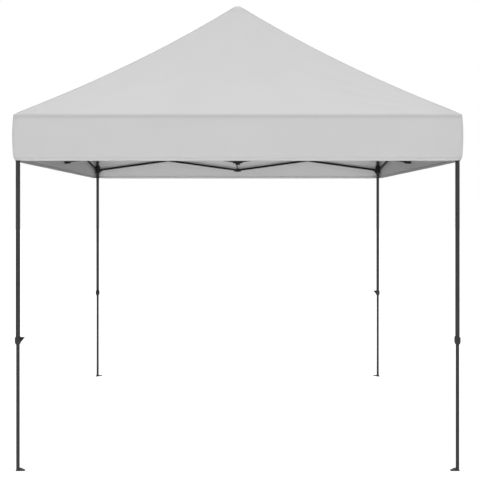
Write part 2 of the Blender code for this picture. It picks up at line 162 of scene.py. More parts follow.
def finish_material(tree, shader):
    add_node(tree, "ShaderNodeOutputMaterial", {"Surface": shader})


CLOTH_DARK = "#C9C9C9"
CLOTH_LIGHT = "#CECECE"
# Painted shade: the cloth's grey where it lies in two layers under the eave
CLOTH_DOUBLED_SHADE = "#C2C2C2"
# Painted shade: the tapes' greys, darker than the cloth's for the light that two layers hold back
SHADED_TAPE_DARK = "#BCBCBC"
SHADED_TAPE_LIGHT = "#C1C1C1"
CLOTH_GLOW = 0.30
TAPE_GLOW = CLOTH_GLOW * 0.6
THREAD_SPACING = 0.003


def coated_woven_polyester():
    """Polyester canopy cloth, woven and coated on its back: a matt, even light grey with a
    fine square weave and slow cloudy variation. Daylight glows through it. Where it lies in two
    layers under the eave, its grey is painted darker as shade for the light that the second
    layer holds back, so that band looks darker."""
    material, tree = new_material("coated_woven_polyester")
    cloth = add_node(tree, "ShaderNodeUVMap", uv_map="cloth").outputs["UV"]
    clouds = add_node(
        tree, "ShaderNodeTexNoise", {"Vector": cloth, "Scale": 2.2, "Detail": 3.0}
    ).outputs["Fac"]
    doubled_shade = add_node(tree, "ShaderNodeAttribute", attribute_name="doubled_shade").outputs["Fac"]
    single = add_node(
        tree,
        "ShaderNodeMix",
        {"Factor": clouds, 6: colour(CLOTH_DARK), 7: colour(CLOTH_LIGHT)},
        data_type="RGBA",
    ).outputs[2]
    # Painted shade: the band in two layers under the eave is mixed towards the darker grey
    tint = add_node(
        tree,
        "ShaderNodeMix",
        {"Factor": doubled_shade, 6: single, 7: colour(CLOTH_DOUBLED_SHADE)},
        data_type="RGBA",
    ).outputs[2]
    # Threads five times as far apart as the real ones, so that they show
    bands = 1 / THREAD_SPACING / 20 * math.pi * 2
    weave = {"Vector": cloth, "Scale": bands, "Distortion": 0.0}
    warp = add_node(tree, "ShaderNodeTexWave", weave, bands_direction="X").outputs["Fac"]
    weft = add_node(tree, "ShaderNodeTexWave", weave, bands_direction="Y").outputs["Fac"]
    threads = add_node(
        tree, "ShaderNodeMath", {0: warp, 1: weft}, operation="MAXIMUM"
    ).outputs[0]
    fine = add_node(
        tree, "ShaderNodeBump", {"Strength": 0.25, "Distance": 0.0003, "Height": threads}
    ).outputs["Normal"]
    bump = add_node(
        tree,
        "ShaderNodeBump",
        {"Strength": 0.30, "Distance": 0.006, "Height": clouds, "Normal": fine},
    ).outputs["Normal"]
    front = add_node(
        tree,
        "ShaderNodeBsdfPrincipled",
        {
            "Base Color": tint,
            "Roughness": 0.82,
            "IOR": 1.5,
            "Specular IOR Level": 0.2,
            "Sheen Weight": 0.05,
            "Sheen Roughness": 0.5,
            "Normal": bump,
        },
    ).outputs["BSDF"]
    through = add_node(tree, "ShaderNodeBsdfTranslucent", {"Color": tint}).outputs["BSDF"]
    both = add_node(tree, "ShaderNodeMixShader", {"Fac": CLOTH_GLOW, 1: front, 2: through})
    finish_material(tree, both.outputs["Shader"])
    return material


def sewn_polyester():
    """Seam tapes, patches and the hem's turned edge: the canopy cloth in two layers, with less
    light coming through, in a grey painted darker than the cloth's as shade for the light
    that the two layers hold back."""
    material, tree = new_material("sewn_polyester_tape")
    place = add_node(tree, "ShaderNodeTexCoord").outputs["Object"]
    grain = add_node(
        tree, "ShaderNodeTexNoise", {"Vector": place, "Scale": 260.0, "Detail": 2.0}
    ).outputs["Fac"]
    tint = add_node(
        tree,
        "ShaderNodeMix",
        {"Factor": grain, 6: colour(SHADED_TAPE_DARK), 7: colour(SHADED_TAPE_LIGHT)},
        data_type="RGBA",
    ).outputs[2]
    bump = add_node(
        tree, "ShaderNodeBump", {"Strength": 0.3, "Distance": 0.0004, "Height": grain}
    ).outputs["Normal"]
    front = add_node(
        tree,
        "ShaderNodeBsdfPrincipled",
        {"Base Color": tint, "Roughness": 0.85, "Specular IOR Level": 0.2, "Normal": bump},
    ).outputs["BSDF"]
    through = add_node(tree, "ShaderNodeBsdfTranslucent", {"Color": tint}).outputs["BSDF"]
    both = add_node(tree, "ShaderNodeMixShader", {"Fac": TAPE_GLOW, 1: front, 2: through})
    finish_material(tree, both.outputs["Shader"])
    return material


def textured(name, dark, light, roughness, grain_size, depth, metallic=0.0, specular=0.5):
    """A hard surface with a fine grain of the given size in metres, in colour and relief."""
    material, tree = new_material(name)
    place = add_node(tree, "ShaderNodeTexCoord").outputs["Object"]
    grain = add_node(
        tree,
        "ShaderNodeTexNoise",
        {"Vector": place, "Scale": 1 / grain_size, "Detail": 3.0},
    ).outputs["Fac"]
    patches = add_node(
        tree, "ShaderNodeTexNoise", {"Vector": place, "Scale": 9.0, "Detail": 4.0}
    ).outputs["Fac"]
    tint = add_node(
        tree,
        "ShaderNodeMix",
        {"Factor": patches, 6: colour(dark), 7: colour(light)},
        data_type="RGBA",
    ).outputs[2]
    gloss = add_node(
        tree,
        "ShaderNodeMapRange",
        {"Value": patches, "To Min": roughness - 0.06, "To Max": roughness + 0.06},
    ).outputs["Result"]
    bump = add_node(
        tree, "ShaderNodeBump", {"Strength": 0.5, "Distance": depth, "Height": grain}
    ).outputs["Normal"]
    shader = add_node(
        tree,
        "ShaderNodeBsdfPrincipled",
        {
            "Base Color": tint,
            "Roughness": gloss,
            "Metallic": metallic,
            "Specular IOR Level": specular,
            "Normal": bump,
        },
    ).outputs["BSDF"]
    finish_material(tree, shader)
    return material


CANOPY_CLOTH = coated_woven_polyester()
SEWN_TAPE = sewn_polyester()
# Steel tube under a dark grey powder coat: satin, with a slight orange peel
POWDER_COAT = textured(
    "powder_coated_steel", "#2B2C2D", "#343536", 0.58, 0.0025, 0.00008, specular=0.12
)
# The scissor bars' coat, a little smoother than the legs': the legs' grey powder coat painted
# nearly black as shade, for the bars that lie in the canopy's shade
SHADED_BAR_COAT = textured(
    "bar_steel_painted_shade", "#121213", "#1A1A1B", 0.55, 0.0020, 0.00006, specular=0.12
)
# Glass-filled nylon from a spark-eroded mould: near black, matt, finely pitted
NYLON = textured("moulded_nylon", "#0E0E0E", "#161616", 0.60, 0.0012, 0.00006, specular=0.3)
# Rivets, screws, foot plates and welds under black paint: thinner and a little shinier
BLACK_PAINT = textured(
    "black_painted_steel", "#131313", "#1E1E1E", 0.45, 0.0018, 0.00005, specular=0.4
)
# Polyester sewing thread, twisted and slightly shiny
THREAD = textured("polyester_thread", "#C0C0C0", "#C9C9C9", 0.60, 0.0008, 0.00003, specular=0.3)
# Woven hook and loop tape: grey and furry
HOOK_TAPE = textured(
    "hook_and_loop_tape", "#77787A", "#86878A", 0.95, 0.0015, 0.0003, specular=0.1
)

# Meshes


def new_object(name, mesh):
    obj = bpy.data.objects.new(name, mesh)
    bpy.context.scene.collection.objects.link(obj)
    return obj


def mesh_from(bm, name="shape"):
    mesh = bpy.data.meshes.new(name)
    bm.to_mesh(mesh)
    bm.free()
    return mesh


def shaded(mesh, material, angle=35):
    mesh.materials.clear()
    mesh.materials.append(material)
    mesh.shade_smooth()
    mesh.set_sharp_from_angle(angle=math.radians(angle))


def evaluated_mesh(obj):
    graph = bpy.context.evaluated_depsgraph_get()
    return bpy.data.meshes.new_from_object(obj.evaluated_get(graph), depsgraph=graph)


# The canopy's surface

EAVE_ROUND = 0.022
HIP_ROUND = 0.005
EAVE_BEND = 0.014
PANEL_SAG = 0.022
VALANCE = EAVE_Z - HEM_Z
VALANCE_BULGE = 0.007
BULGE_IN_MIDDLE = 0.3
CORNER_TUCK = 0.011
CORNER_LIFT = 0.004
ROOF_SLANT = math.hypot(HALF, TOP_Z - EAVE_Z)
WRINKLE = 0.0018


def eased_step(value, low, high):
    share = min(1.0, max(0.0, (value - low) / (high - low)))
    return share * share * (3 - 2 * share)


def wrinkles(t, v):
    """How far the cloth stands proud, in soft folds that fan out from the corners."""
    if v <= 1:
        across, down = (1 - abs(t)) * v * HALF, (1 - v) * HALF
        near = math.exp(-math.hypot(across, down) / 0.45)
        angle = math.atan2(down, across + 1e-6)
        fan = math.sin(angle * 17 + 1.3 * math.copysign(1, t)) * near
        fan *= eased_step(math.hypot(across, down), 0.0, 0.12)
        return WRINKLE * (fan + 0.5 * math.sin(9 * t + 5 * v) * v * (1 - v) * 2)
    across, drop = (1 - abs(t)) * HALF, v - 1
    near = math.exp(-across / 0.35)
    slant = math.sin(across * 38 - drop * 4.0) * near
    wave = math.sin(t * 11.0 + 0.8) + 0.6 * math.sin(t * 23.0 + 2.1 + 1.5 * drop)
    return WRINKLE * drop * (1.2 * slant + 0.8 * wave)


def fall(t, v, lift):
    """Half width and height of the cloth at height v, with a sharp bend at the eave."""
    roof, drop = min(v, 1.0), max(v - 1.0, 0.0)
    half = ROOF_TOP_HALF + (HALF - ROOF_TOP_HALF) * roof
    hang = 4 * roof * (1 - roof)
    z = TOP_Z - (TOP_Z - EAVE_Z) * roof - (ROOF_SAG + PANEL_SAG * (1 - t * t)) * hang
    z -= drop * VALANCE
    proud = lift + wrinkles(t, v)
    if drop:
        corner = eased_step(abs(t), 0.93, 1.0)
        end = BULGE_IN_MIDDLE + (1 - BULGE_IN_MIDDLE) * eased_step(abs(t), 0.6, 1.0)
        half += VALANCE_BULGE * math.sin(math.pi * drop) * end
        half -= CORNER_TUCK * corner * max(0.0, (drop - 0.85) / 0.15) ** 2.2
        z += CORNER_LIFT * corner * eased_step(drop, 0.7, 1.0)
        half += proud
    else:
        steep = eased_step(v, 0.985, 1.0)
        half += proud * (0.6 + 0.4 * steep)
        z += proud * 0.8 * (1 - steep)
    return Vector((half, z))


def cloth_point(side, t, v, lift=0.0):
    """A point on the canopy: t from -1 to 1 along a side, and v from 0 at the ridge to 1 at the
    eave and 2 at the hem. lift moves it outwards."""
    along = (v - 1) * (ROOF_SLANT if v < 1 else VALANCE)
    if abs(along) < EAVE_BEND:
        share = (along + EAVE_BEND) / (2 * EAVE_BEND)
        before = fall(t, 1 - EAVE_BEND / ROOF_SLANT, lift)
        after = fall(t, 1 + EAVE_BEND / VALANCE, lift)
        bend = (1 - share) ** 2 * before + 2 * share * (1 - share) * fall(t, 1, lift)
        half, z = bend + share**2 * after
    else:
        half, z = fall(t, v, lift)
    rounding = HIP_ROUND + (EAVE_ROUND - HIP_ROUND) * eased_step(v, 0.955, 1.04)
    rounding = min(rounding, half * 0.6)
    short = half * (1 - abs(t))
    x, y = half * t, -half
    if short < rounding:
        angle = math.pi / 4 * (1 - short / rounding)
        x = math.copysign(half - rounding + rounding * math.sin(angle), t)
        y = -(half - rounding + rounding * math.cos(angle))
    return side_frame(side) @ Vector((x, y, z))


def along_side(count):
    """Places along a side, closer together towards its corners."""
    places = []
    for i in range(count + 1):
        place = 2 * i / count - 1
        places.append(math.copysign(1 - (1 - abs(place)) ** 1.6, place))
    return places


def cloth_ring(places, v, lift=0.0):
    """Points once round the canopy at height v."""
    return [
        (cloth_point(side, t, v, lift), (side + (t + 1) / 2) * 2 * HALF, v)
        for side in range(4)
        for t in places[:-1]
    ]


ROOF_ROWS = 60
VALANCE_ROWS = 26
SIDE_STEPS = 64
SEAM_ALLOWANCE = 0.022
SEAM_BLUR = 0.004


def cloth_distance(v):
    """Distance down the cloth from the ridge, in metres."""
    return ROOF_SLANT * min(v, 1.0) + VALANCE * max(v - 1.0, 0.0)


def valance_v(distance):
    """The height v this far down the valance from the eave, in metres."""
    return 1 + distance / VALANCE


def ring_mesh(rings, closed_top):
    """Quads between rings of points, with the distance along the cloth as the UV map."""
    bm = bmesh.new()
    uv = bm.loops.layers.uv.new("cloth")
    rows = [[bm.verts.new(point) for point, _, _ in ring] for ring in rings]
    count = len(rows[0])
    round_length = 8 * HALF
    for i in range(len(rows) - 1):
        for j in range(count):
            k = (j + 1) % count
            face = bm.faces.new((rows[i][j], rows[i + 1][j], rows[i + 1][k], rows[i][k]))
            for loop, (row, column) in zip(face.loops, ((i, j), (i + 1, j), (i + 1, k), (i, k))):
                _, along, v = rings[row][column]
                if column == 0 and j == count - 1:
                    along += round_length
                loop[uv].uv = (along, cloth_distance(v))
    if closed_top:
        centre = bm.verts.new((0, 0, TOP_Z))
        for j in range(count):
            k = (j + 1) % count
            face = bm.faces.new((centre, rows[0][j], rows[0][k]))
            for loop in face.loops:
                loop[uv].uv = (loop.vert.co.x, loop.vert.co.y)
    return mesh_from(bm)


def canopy_sheet():
    """The whole cloth, with its rows closer together at the eave and the hem. Its attribute for
    the painted shade is 1 where the seam allowance lies behind it, where the cloth's grey is
    painted darker as shade."""
    places = along_side(SIDE_STEPS)
    heights = [1 - (1 - i / ROOF_ROWS) ** 1.5 for i in range(ROOF_ROWS + 1)]
    for i in range(1, VALANCE_ROWS + 1):
        heights.append(1.5 - 0.5 * math.cos(math.pi * i / VALANCE_ROWS))
    mesh = ring_mesh([cloth_ring(places, v) for v in heights], True)
    doubled_shade = mesh.attributes.new("doubled_shade", "FLOAT", "POINT")
    for row, v in enumerate(heights):
        down = (v - 1) * VALANCE
        # The band under the eave whose grey is painted darker as shade
        seam = eased_step(down, -SEAM_BLUR, SEAM_BLUR)
        seam *= 1 - eased_step(down, SEAM_ALLOWANCE, SEAM_ALLOWANCE + 2 * SEAM_BLUR)
        for column in range(4 * SIDE_STEPS):
            doubled_shade.data[row * 4 * SIDE_STEPS + column].value = seam
    return mesh


# How the cloth follows the frame as it folds. Each point follows the bodies round it, and hangs
# in bags between the inner scissors and in pleats along the sides.

FLAT_Z = 2.40
BAG = 0.55
PLEATS = 6
PLEAT_OUT = 0.075
HOOKS = (
    [f"leg_{corner}" for corner in CORNERS]
    + [f"slider_{corner}" for corner in CORNERS]
    + [f"upper_connector_{side}" for side in SIDES]
    + [f"lower_connector_{side}" for side in SIDES]
    + ["lower_hub", "mast_head"]
)


def shares(point):
    """{body: share} of the bodies that a point of the cloth follows."""
    p, q = min(1.0, abs(point.x) / LEG_AT), min(1.0, abs(point.y) / LEG_AT)
    x_side = "right" if point.x > 0 else "left"
    y_side = "back" if point.y > 0 else "front"
    corner = f"{y_side}_{x_side}"
    ripple_x = PLEAT_OUT * (0.5 - 0.5 * math.cos(2 * math.pi * PLEATS * q))
    ripple_y = PLEAT_OUT * (0.5 - 0.5 * math.cos(2 * math.pi * PLEATS * p))
    bag = BAG * 16 * p * (1 - p) * q * (1 - q)
    p -= ripple_x * eased_step(p, 0.8, 1.0)
    q -= ripple_y * eased_step(q, 0.8, 1.0)
    sink = min(1.0, max(0.0, point.z - FLAT_Z + bag) / FOLD_DROP)
    head = 1 - eased_step(max(abs(point.x), abs(point.y)), 0.05, 0.30)
    parts = {
        f"leg_{corner}": p * q * (1 - sink),
        f"slider_{corner}": p * q * sink,
        f"upper_connector_{x_side}": p * (1 - q) * (1 - sink),
        f"lower_connector_{x_side}": p * (1 - q) * sink,
        f"upper_connector_{y_side}": (1 - p) * q * (1 - sink),
        f"lower_connector_{y_side}": (1 - p) * q * sink,
        "lower_hub": (1 - p) * (1 - q) * sink * (1 - head),
        "mast_head": (1 - p) * (1 - q) * head,
    }
    return parts


def follow_frame(obj):
    """Hooks each point of the piece to the bodies that it follows."""
    groups = {body: obj.vertex_groups.new(name=body) for body in HOOKS}
    for vertex in obj.data.vertices:
        for body, share in shares(vertex.co).items():
            if share > 1e-5:
                groups[body].add((vertex.index,), share, "REPLACE")
    for body in HOOKS:
        hook = obj.modifiers.new(f"follows_{body}", "HOOK")
        hook.object = frame["bodies"][body]
        hook.vertex_group = body
        hook.falloff_type = "NONE"
        hook.strength = 1.0


def cloth_piece(name, mesh, material, thickness, offset):
    shaded(mesh, material, 60)
    obj = new_object(name, mesh)
    follow_frame(obj)
    if thickness:
        wall = obj.modifiers.new("cloth_thickness", "SOLIDIFY")
        wall.thickness = thickness
        wall.offset = offset
    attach(obj, "centre_hub")
    return obj


CLOTH_THICK = 0.0010
canopy = cloth_piece("canopy_cloth", canopy_sheet(), CANOPY_CLOTH, CLOTH_THICK, -1)
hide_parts("canopy")

# Seams, hem and patches, sewn onto the cloth

TAPE = 0.0005
HIP_TAPE_HALF = 0.009
HEM_HEIGHT = 0.022
HEM_THICK = 0.0018
EAVE_TAPE_TOP = 0.001
EAVE_TAPE_LOW = 0.024
RIDGE_PATCH_TOP = 0.002
RIDGE_PATCH = 0.065
HIP_TAPE_TOP = 0.012
HIP_TAPE_END = 0.999
PATCH_TOP = 0.90
PATCH_DROP = 0.020
PATCH_WIDTH_TOP = 0.020
PATCH_WIDER = 0.110
INSIDE = -CLOTH_THICK - 0.0004


def band(name, tops, lift, material=SEWN_TAPE, thickness=TAPE, offset=1):
    """A strip once round the canopy through the given heights."""
    places = along_side(SIDE_STEPS)
    mesh = ring_mesh([cloth_ring(places, v, lift) for v in tops], False)
    cloth_piece(name, mesh, material, thickness, offset)


def hip_tape():
    """The strips over the four hips, from the ridge patch to the eave."""
    bm = bmesh.new()
    uv = bm.loops.layers.uv.new("cloth")
    run = HIP_TAPE_END - HIP_TAPE_TOP
    heights = [HIP_TAPE_TOP + run * i / ROOF_ROWS for i in range(ROOF_ROWS + 1)]
    offsets = [-1.0, -0.6, -0.3, -0.12, 0.0, 0.12, 0.3, 0.6, 1.0]
    for side in range(4):
        rows = []
        for v in heights:
            half = ROOF_TOP_HALF + (HALF - ROOF_TOP_HALF) * v
            row = []
            for place in offsets:
                back = abs(place) * min(HIP_TAPE_HALF, 0.8 * half) / half
                if place <= 0:
                    point = cloth_point(side, 1 - back, v, 0.0004)
                else:
                    point = cloth_point(side + 1, back - 1, v, 0.0004)
                row.append(bm.verts.new(point))
            rows.append(row)
        for i in range(len(rows) - 1):
            for j in range(len(offsets) - 1):
                corners = ((i, j), (i + 1, j), (i + 1, j + 1), (i, j + 1))
                face = bm.faces.new([rows[a][b] for a, b in corners])
                for loop, (a, b) in zip(face.loops, corners):
                    loop[uv].uv = (offsets[b] * HIP_TAPE_HALF, ROOF_SLANT * heights[a])
    return mesh_from(bm)


def corner_patches():
    """Patches inside the four corners of the roof, over the leg brackets."""
    bm = bmesh.new()
    uv = bm.loops.layers.uv.new("cloth")
    steps = 10
    for side in range(4):
        for way in (-1, 1):
            rows = []
            for i in range(steps + 1):
                v = PATCH_TOP + (valance_v(PATCH_DROP) - PATCH_TOP) * i / steps
                share = min(1.0, (v - PATCH_TOP) / 0.10)
                reach = PATCH_WIDTH_TOP + PATCH_WIDER * share
                row = [way * (1 - reach * j / steps / HALF) for j in range(steps + 1)]
                rows.append([(bm.verts.new(cloth_point(side, t, v, INSIDE)), t, v) for t in row])
            for i in range(steps):
                for j in range(steps):
                    corners = [rows[i][j], rows[i + 1][j], rows[i + 1][j + 1], rows[i][j + 1]]
                    if way > 0:
                        corners.reverse()
                    face = bm.faces.new([vert for vert, _, _ in corners])
                    for loop, (_, t, v) in zip(face.loops, corners):
                        loop[uv].uv = (t * HALF, cloth_distance(v))
    bmesh.ops.remove_doubles(bm, verts=bm.verts, dist=1e-5)
    return mesh_from(bm)


cloth_piece("canopy_hip_tape", hip_tape(), SEWN_TAPE, TAPE, 1)
cloth_piece("canopy_corner_patches", corner_patches(), SEWN_TAPE, TAPE, -1)
eave_tape = EAVE_TAPE_LOW - EAVE_TAPE_TOP
band(
    "canopy_eave_tape",
    [valance_v(EAVE_TAPE_TOP + eave_tape * i / 5) for i in range(6)],
    INSIDE,
    offset=-1,
)
band(
    "canopy_hem",
    [valance_v(VALANCE - HEM_HEIGHT * (1 - i / 4)) for i in range(5)],
    -CLOTH_THICK / 2,
    thickness=HEM_THICK,
    offset=0,
)
band(
    "canopy_ridge_patch",
    [RIDGE_PATCH_TOP + RIDGE_PATCH * i / 8 for i in range(9)],
    INSIDE,
    offset=-1,
)

# Repeated pieces, grown by geometry nodes on guide points and guide lines


def geometry_tree(name, sizes):
    """A tree with a Geometry input, one named input for each size, and a Material."""
    tree = bpy.data.node_groups.new(name, "GeometryNodeTree")
    tree.interface.new_socket("Geometry", in_out="INPUT", socket_type="NodeSocketGeometry")
    for size, value in sizes.items():
        kind = "NodeSocketInt" if isinstance(value, int) else "NodeSocketFloat"
        socket = tree.interface.new_socket(size, in_out="INPUT", socket_type=kind)
        socket.default_value = value
    tree.interface.new_socket("Material", in_out="INPUT", socket_type="NodeSocketMaterial")
    tree.interface.new_socket("Geometry", in_out="OUTPUT", socket_type="NodeSocketGeometry")
    return tree, add_node(tree, "NodeGroupInput").outputs


def end_tree(tree, instances, material):
    real = add_node(tree, "GeometryNodeRealizeInstances", {"Geometry": instances})
    smooth = add_node(
        tree, "GeometryNodeSetShadeSmooth", {"Geometry": real.outputs["Geometry"]}
    )
    coloured = add_node(
        tree,
        "GeometryNodeSetMaterial",
        {"Geometry": smooth.outputs["Geometry"], "Material": material},
    )
    add_node(tree, "NodeGroupOutput", {"Geometry": coloured.outputs["Geometry"]})


def placed_outwards(tree, points, instance):
    """The instance on each point, with its Z along the point's outward attribute."""
    outward = add_node(
        tree, "GeometryNodeInputNamedAttribute", {"Name": "outward"}, data_type="FLOAT_VECTOR"
    ).outputs["Attribute"]
    turn = add_node(
        tree, "FunctionNodeAlignRotationToVector", {"Vector": outward}, axis="Z"
    ).outputs["Rotation"]
    return add_node(
        tree,
        "GeometryNodeInstanceOnPoints",
        {"Points": points, "Instance": instance, "Rotation": turn},
    ).outputs["Instances"]


def rivet_tree():
    """A low dome on a washer."""
    sizes = {
        "Washer Radius": 0.0060,
        "Washer Height": 0.0009,
        "Dome Radius": 0.0044,
        "Dome Height": 0.0020,
    }
    tree, given = geometry_tree("rivet_heads", sizes)
    washer = add_node(
        tree,
        "GeometryNodeMeshCylinder",
        {"Vertices": 20, "Radius": given["Washer Radius"], "Depth": given["Washer Height"]},
    ).outputs["Mesh"]
    half_height = add_node(
        tree, "ShaderNodeMath", {0: given["Washer Height"], 1: 0.5}, operation="MULTIPLY"
    ).outputs[0]
    up = add_node(tree, "ShaderNodeCombineXYZ", {"Z": half_height}).outputs["Vector"]
    washer = add_node(
        tree, "GeometryNodeTransform", {"Geometry": washer, "Translation": up}
    ).outputs["Geometry"]
    dome = add_node(
        tree,
        "GeometryNodeMeshUVSphere",
        {"Segments": 16, "Rings": 8, "Radius": given["Dome Radius"]},
    ).outputs["Mesh"]
    flat = add_node(
        tree,
        "ShaderNodeMath",
        {0: given["Dome Height"], 1: given["Dome Radius"]},
        operation="DIVIDE",
    ).outputs[0]
    scale = add_node(tree, "ShaderNodeCombineXYZ", {"X": 1.0, "Y": 1.0, "Z": flat})
    above = add_node(tree, "ShaderNodeCombineXYZ", {"Z": given["Washer Height"]})
    dome = add_node(
        tree,
        "GeometryNodeTransform",
        {
            "Geometry": dome,
            "Translation": above.outputs["Vector"],
            "Scale": scale.outputs["Vector"],
        },
    ).outputs["Geometry"]
    head = add_node(tree, "GeometryNodeJoinGeometry", {"Geometry": washer})
    tree.links.new(dome, head.inputs["Geometry"])
    heads = placed_outwards(tree, given["Geometry"], head.outputs["Geometry"])
    end_tree(tree, heads, given["Material"])
    return tree


def screw_tree():
    """Pan heads with a cross recess."""
    sizes = {
        "Head Radius": 0.0034,
        "Head Height": 0.0018,
        "Slot Width": 0.0009,
        "Slot Height": 0.0020,
    }
    tree, given = geometry_tree("screw_heads", sizes)
    dome = add_node(
        tree,
        "GeometryNodeMeshUVSphere",
        {"Segments": 16, "Rings": 8, "Radius": given["Head Radius"]},
    ).outputs["Mesh"]
    flat = add_node(
        tree,
        "ShaderNodeMath",
        {0: given["Head Height"], 1: given["Head Radius"]},
        operation="DIVIDE",
    ).outputs[0]
    scale = add_node(tree, "ShaderNodeCombineXYZ", {"X": 1.0, "Y": 1.0, "Z": flat})
    dome = add_node(
        tree, "GeometryNodeTransform", {"Geometry": dome, "Scale": scale.outputs["Vector"]}
    ).outputs["Geometry"]
    cutters = []
    for long_axis, short_axis in (("X", "Y"), ("Y", "X")):
        size = add_node(
            tree,
            "ShaderNodeCombineXYZ",
            {
                long_axis: given["Head Radius"],
                short_axis: given["Slot Width"],
                "Z": given["Slot Height"],
            },
        ).outputs["Vector"]
        slot = add_node(tree, "GeometryNodeMeshCube", {"Size": size}).outputs["Mesh"]
        high = add_node(tree, "ShaderNodeCombineXYZ", {"Z": given["Head Height"]})
        cutters.append(
            add_node(
                tree,
                "GeometryNodeTransform",
                {"Geometry": slot, "Translation": high.outputs["Vector"]},
            ).outputs["Geometry"]
        )
    for cutter in cutters:
        recess = {"Mesh 1": dome, "Mesh 2": cutter}
        dome = add_node(
            tree, "GeometryNodeMeshBoolean", recess, operation="DIFFERENCE"
        ).outputs["Mesh"]
    heads = placed_outwards(tree, given["Geometry"], dome)
    end_tree(tree, heads, given["Material"])
    return tree


def rib_tree():
    """Bars across each point, with their length along the point's along attribute."""
    sizes = {"Length": 0.010, "Width": 0.0012, "Height": 0.0010}
    tree, given = geometry_tree("moulded_ribs", sizes)
    size = add_node(
        tree,
        "ShaderNodeCombineXYZ",
        {"X": given["Length"], "Y": given["Width"], "Z": given["Height"]},
    ).outputs["Vector"]
    rib = add_node(tree, "GeometryNodeMeshCube", {"Size": size}).outputs["Mesh"]
    outward, along = (
        add_node(
            tree, "GeometryNodeInputNamedAttribute", {"Name": name}, data_type="FLOAT_VECTOR"
        ).outputs["Attribute"]
        for name in ("outward", "along")
    )
    up = add_node(
        tree, "FunctionNodeAlignRotationToVector", {"Vector": outward}, axis="Z"
    ).outputs["Rotation"]
    turn = add_node(
        tree,
        "FunctionNodeAlignRotationToVector",
        {"Rotation": up, "Vector": along},
        axis="X",
        pivot_axis="Z",
    ).outputs["Rotation"]
    ribs = add_node(
        tree,
        "GeometryNodeInstanceOnPoints",
        {"Points": given["Geometry"], "Instance": rib, "Rotation": turn},
    ).outputs["Instances"]
    end_tree(tree, ribs, given["Material"])
    return tree


def bead_tree():
    """Long beads end to end along each guide line: stitches, or the ripples of a weld."""
    sizes = {"Pitch": 0.006, "Bead Length": 0.0044, "Bead Radius": 0.0006, "Bead Sides": 4}
    tree, given = geometry_tree("rows_of_beads", sizes)
    lines = add_node(tree, "GeometryNodeMeshToCurve", {"Mesh": given["Geometry"]})
    points = add_node(
        tree,
        "GeometryNodeResampleCurve",
        {"Curve": lines.outputs["Curve"], "Length": given["Pitch"]},
        mode="LENGTH",
    ).outputs["Curve"]
    rings = add_node(
        tree, "ShaderNodeMath", {0: given["Bead Sides"], 1: 0.5}, operation="MULTIPLY"
    ).outputs[0]
    bead = add_node(
        tree,
        "GeometryNodeMeshUVSphere",
        {"Segments": given["Bead Sides"], "Rings": rings, "Radius": given["Bead Radius"]},
    ).outputs["Mesh"]
    longer = add_node(
        tree,
        "ShaderNodeMath",
        {0: given["Bead Length"], 1: given["Bead Radius"]},
        operation="DIVIDE",
    ).outputs[0]
    half_longer = add_node(
        tree, "ShaderNodeMath", {0: longer, 1: 0.5}, operation="MULTIPLY"
    ).outputs[0]
    scale = add_node(tree, "ShaderNodeCombineXYZ", {"X": 1.0, "Y": 1.0, "Z": half_longer})
    bead = add_node(
        tree, "GeometryNodeTransform", {"Geometry": bead, "Scale": scale.outputs["Vector"]}
    ).outputs["Geometry"]
    tangent = add_node(tree, "GeometryNodeInputTangent").outputs["Tangent"]
    turn = add_node(
        tree, "FunctionNodeAlignRotationToVector", {"Vector": tangent}, axis="Z"
    ).outputs["Rotation"]
    rows = add_node(
        tree,
        "GeometryNodeInstanceOnPoints",
        {"Points": points, "Instance": bead, "Rotation": turn},
    ).outputs["Instances"]
    end_tree(tree, rows, given["Material"])
    return tree


def grown(name, guide, tree, material, **sizes):
    """The plain mesh that the tree grows on the guide. sizes sets the tree's named inputs."""
    obj = new_object(name, guide)
    modifier = obj.modifiers.new("grown", "NODES")
    modifier.node_group = tree
    given = {name.replace("_", " ").title(): value for name, value in sizes.items()}
    given["Material"] = material
    for item in tree.interface.items_tree:
        if item.in_out == "INPUT" and item.name in given:
            modifier[item.identifier] = given[item.name]
    mesh = evaluated_mesh(obj)
    bpy.data.objects.remove(obj)
    mesh.name = name
    return mesh


def guide_points(points):
    """Loose points, each with the direction that it faces and that of its length."""
    mesh = bpy.data.meshes.new("guide_points")
    mesh.from_pydata([place for place, _, _ in points], [], [])
    for number, name in ((1, "outward"), (2, "along")):
        attribute = mesh.attributes.new(name, "FLOAT_VECTOR", "POINT")
        for item, point in zip(attribute.data, points):
            item.vector = point[number]
    return mesh


def guide_lines(lines):
    mesh = bpy.data.meshes.new("guide_lines")
    places, edges = [], []
    for line in lines:
        start = len(places)
        places += line
        edges += [(start + i, start + i + 1) for i in range(len(line) - 1)]
    mesh.from_pydata(places, edges, [])
    return mesh


BEADS = bead_tree()
RIVETS = rivet_tree()
SCREWS = screw_tree()
RIBS = rib_tree()
ON_CLOTH = 0.0002
ON_TAPE = TAPE + 0.0006


def stitching(name, lines):
    obj = new_object(name, grown(name, guide_lines(lines), BEADS, THREAD))
    follow_frame(obj)
    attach(obj, "centre_hub")


def closed_line(v, lift):
    ring = [point for point, _, _ in cloth_ring(along_side(SIDE_STEPS), v, lift)]
    return ring + ring[:1]


ROW_IN = 0.002
HIP_ROW_TOP = 0.07
HIP_ROW_END = 0.998


def hip_line(side, inset, lift):
    """A line beside the hip between this side and the next, from the ridge to the eave."""
    line = []
    for i in range(ROOF_ROWS + 1):
        v = HIP_ROW_TOP + (HIP_ROW_END - HIP_ROW_TOP) * i / ROOF_ROWS
        half = ROOF_TOP_HALF + (HALF - ROOF_TOP_HALF) * v
        if inset < 0:
            line.append(cloth_point(side, 1 + inset / half, v, lift))
        else:
            line.append(cloth_point(side + 1, inset / half - 1, v, lift))
    return line


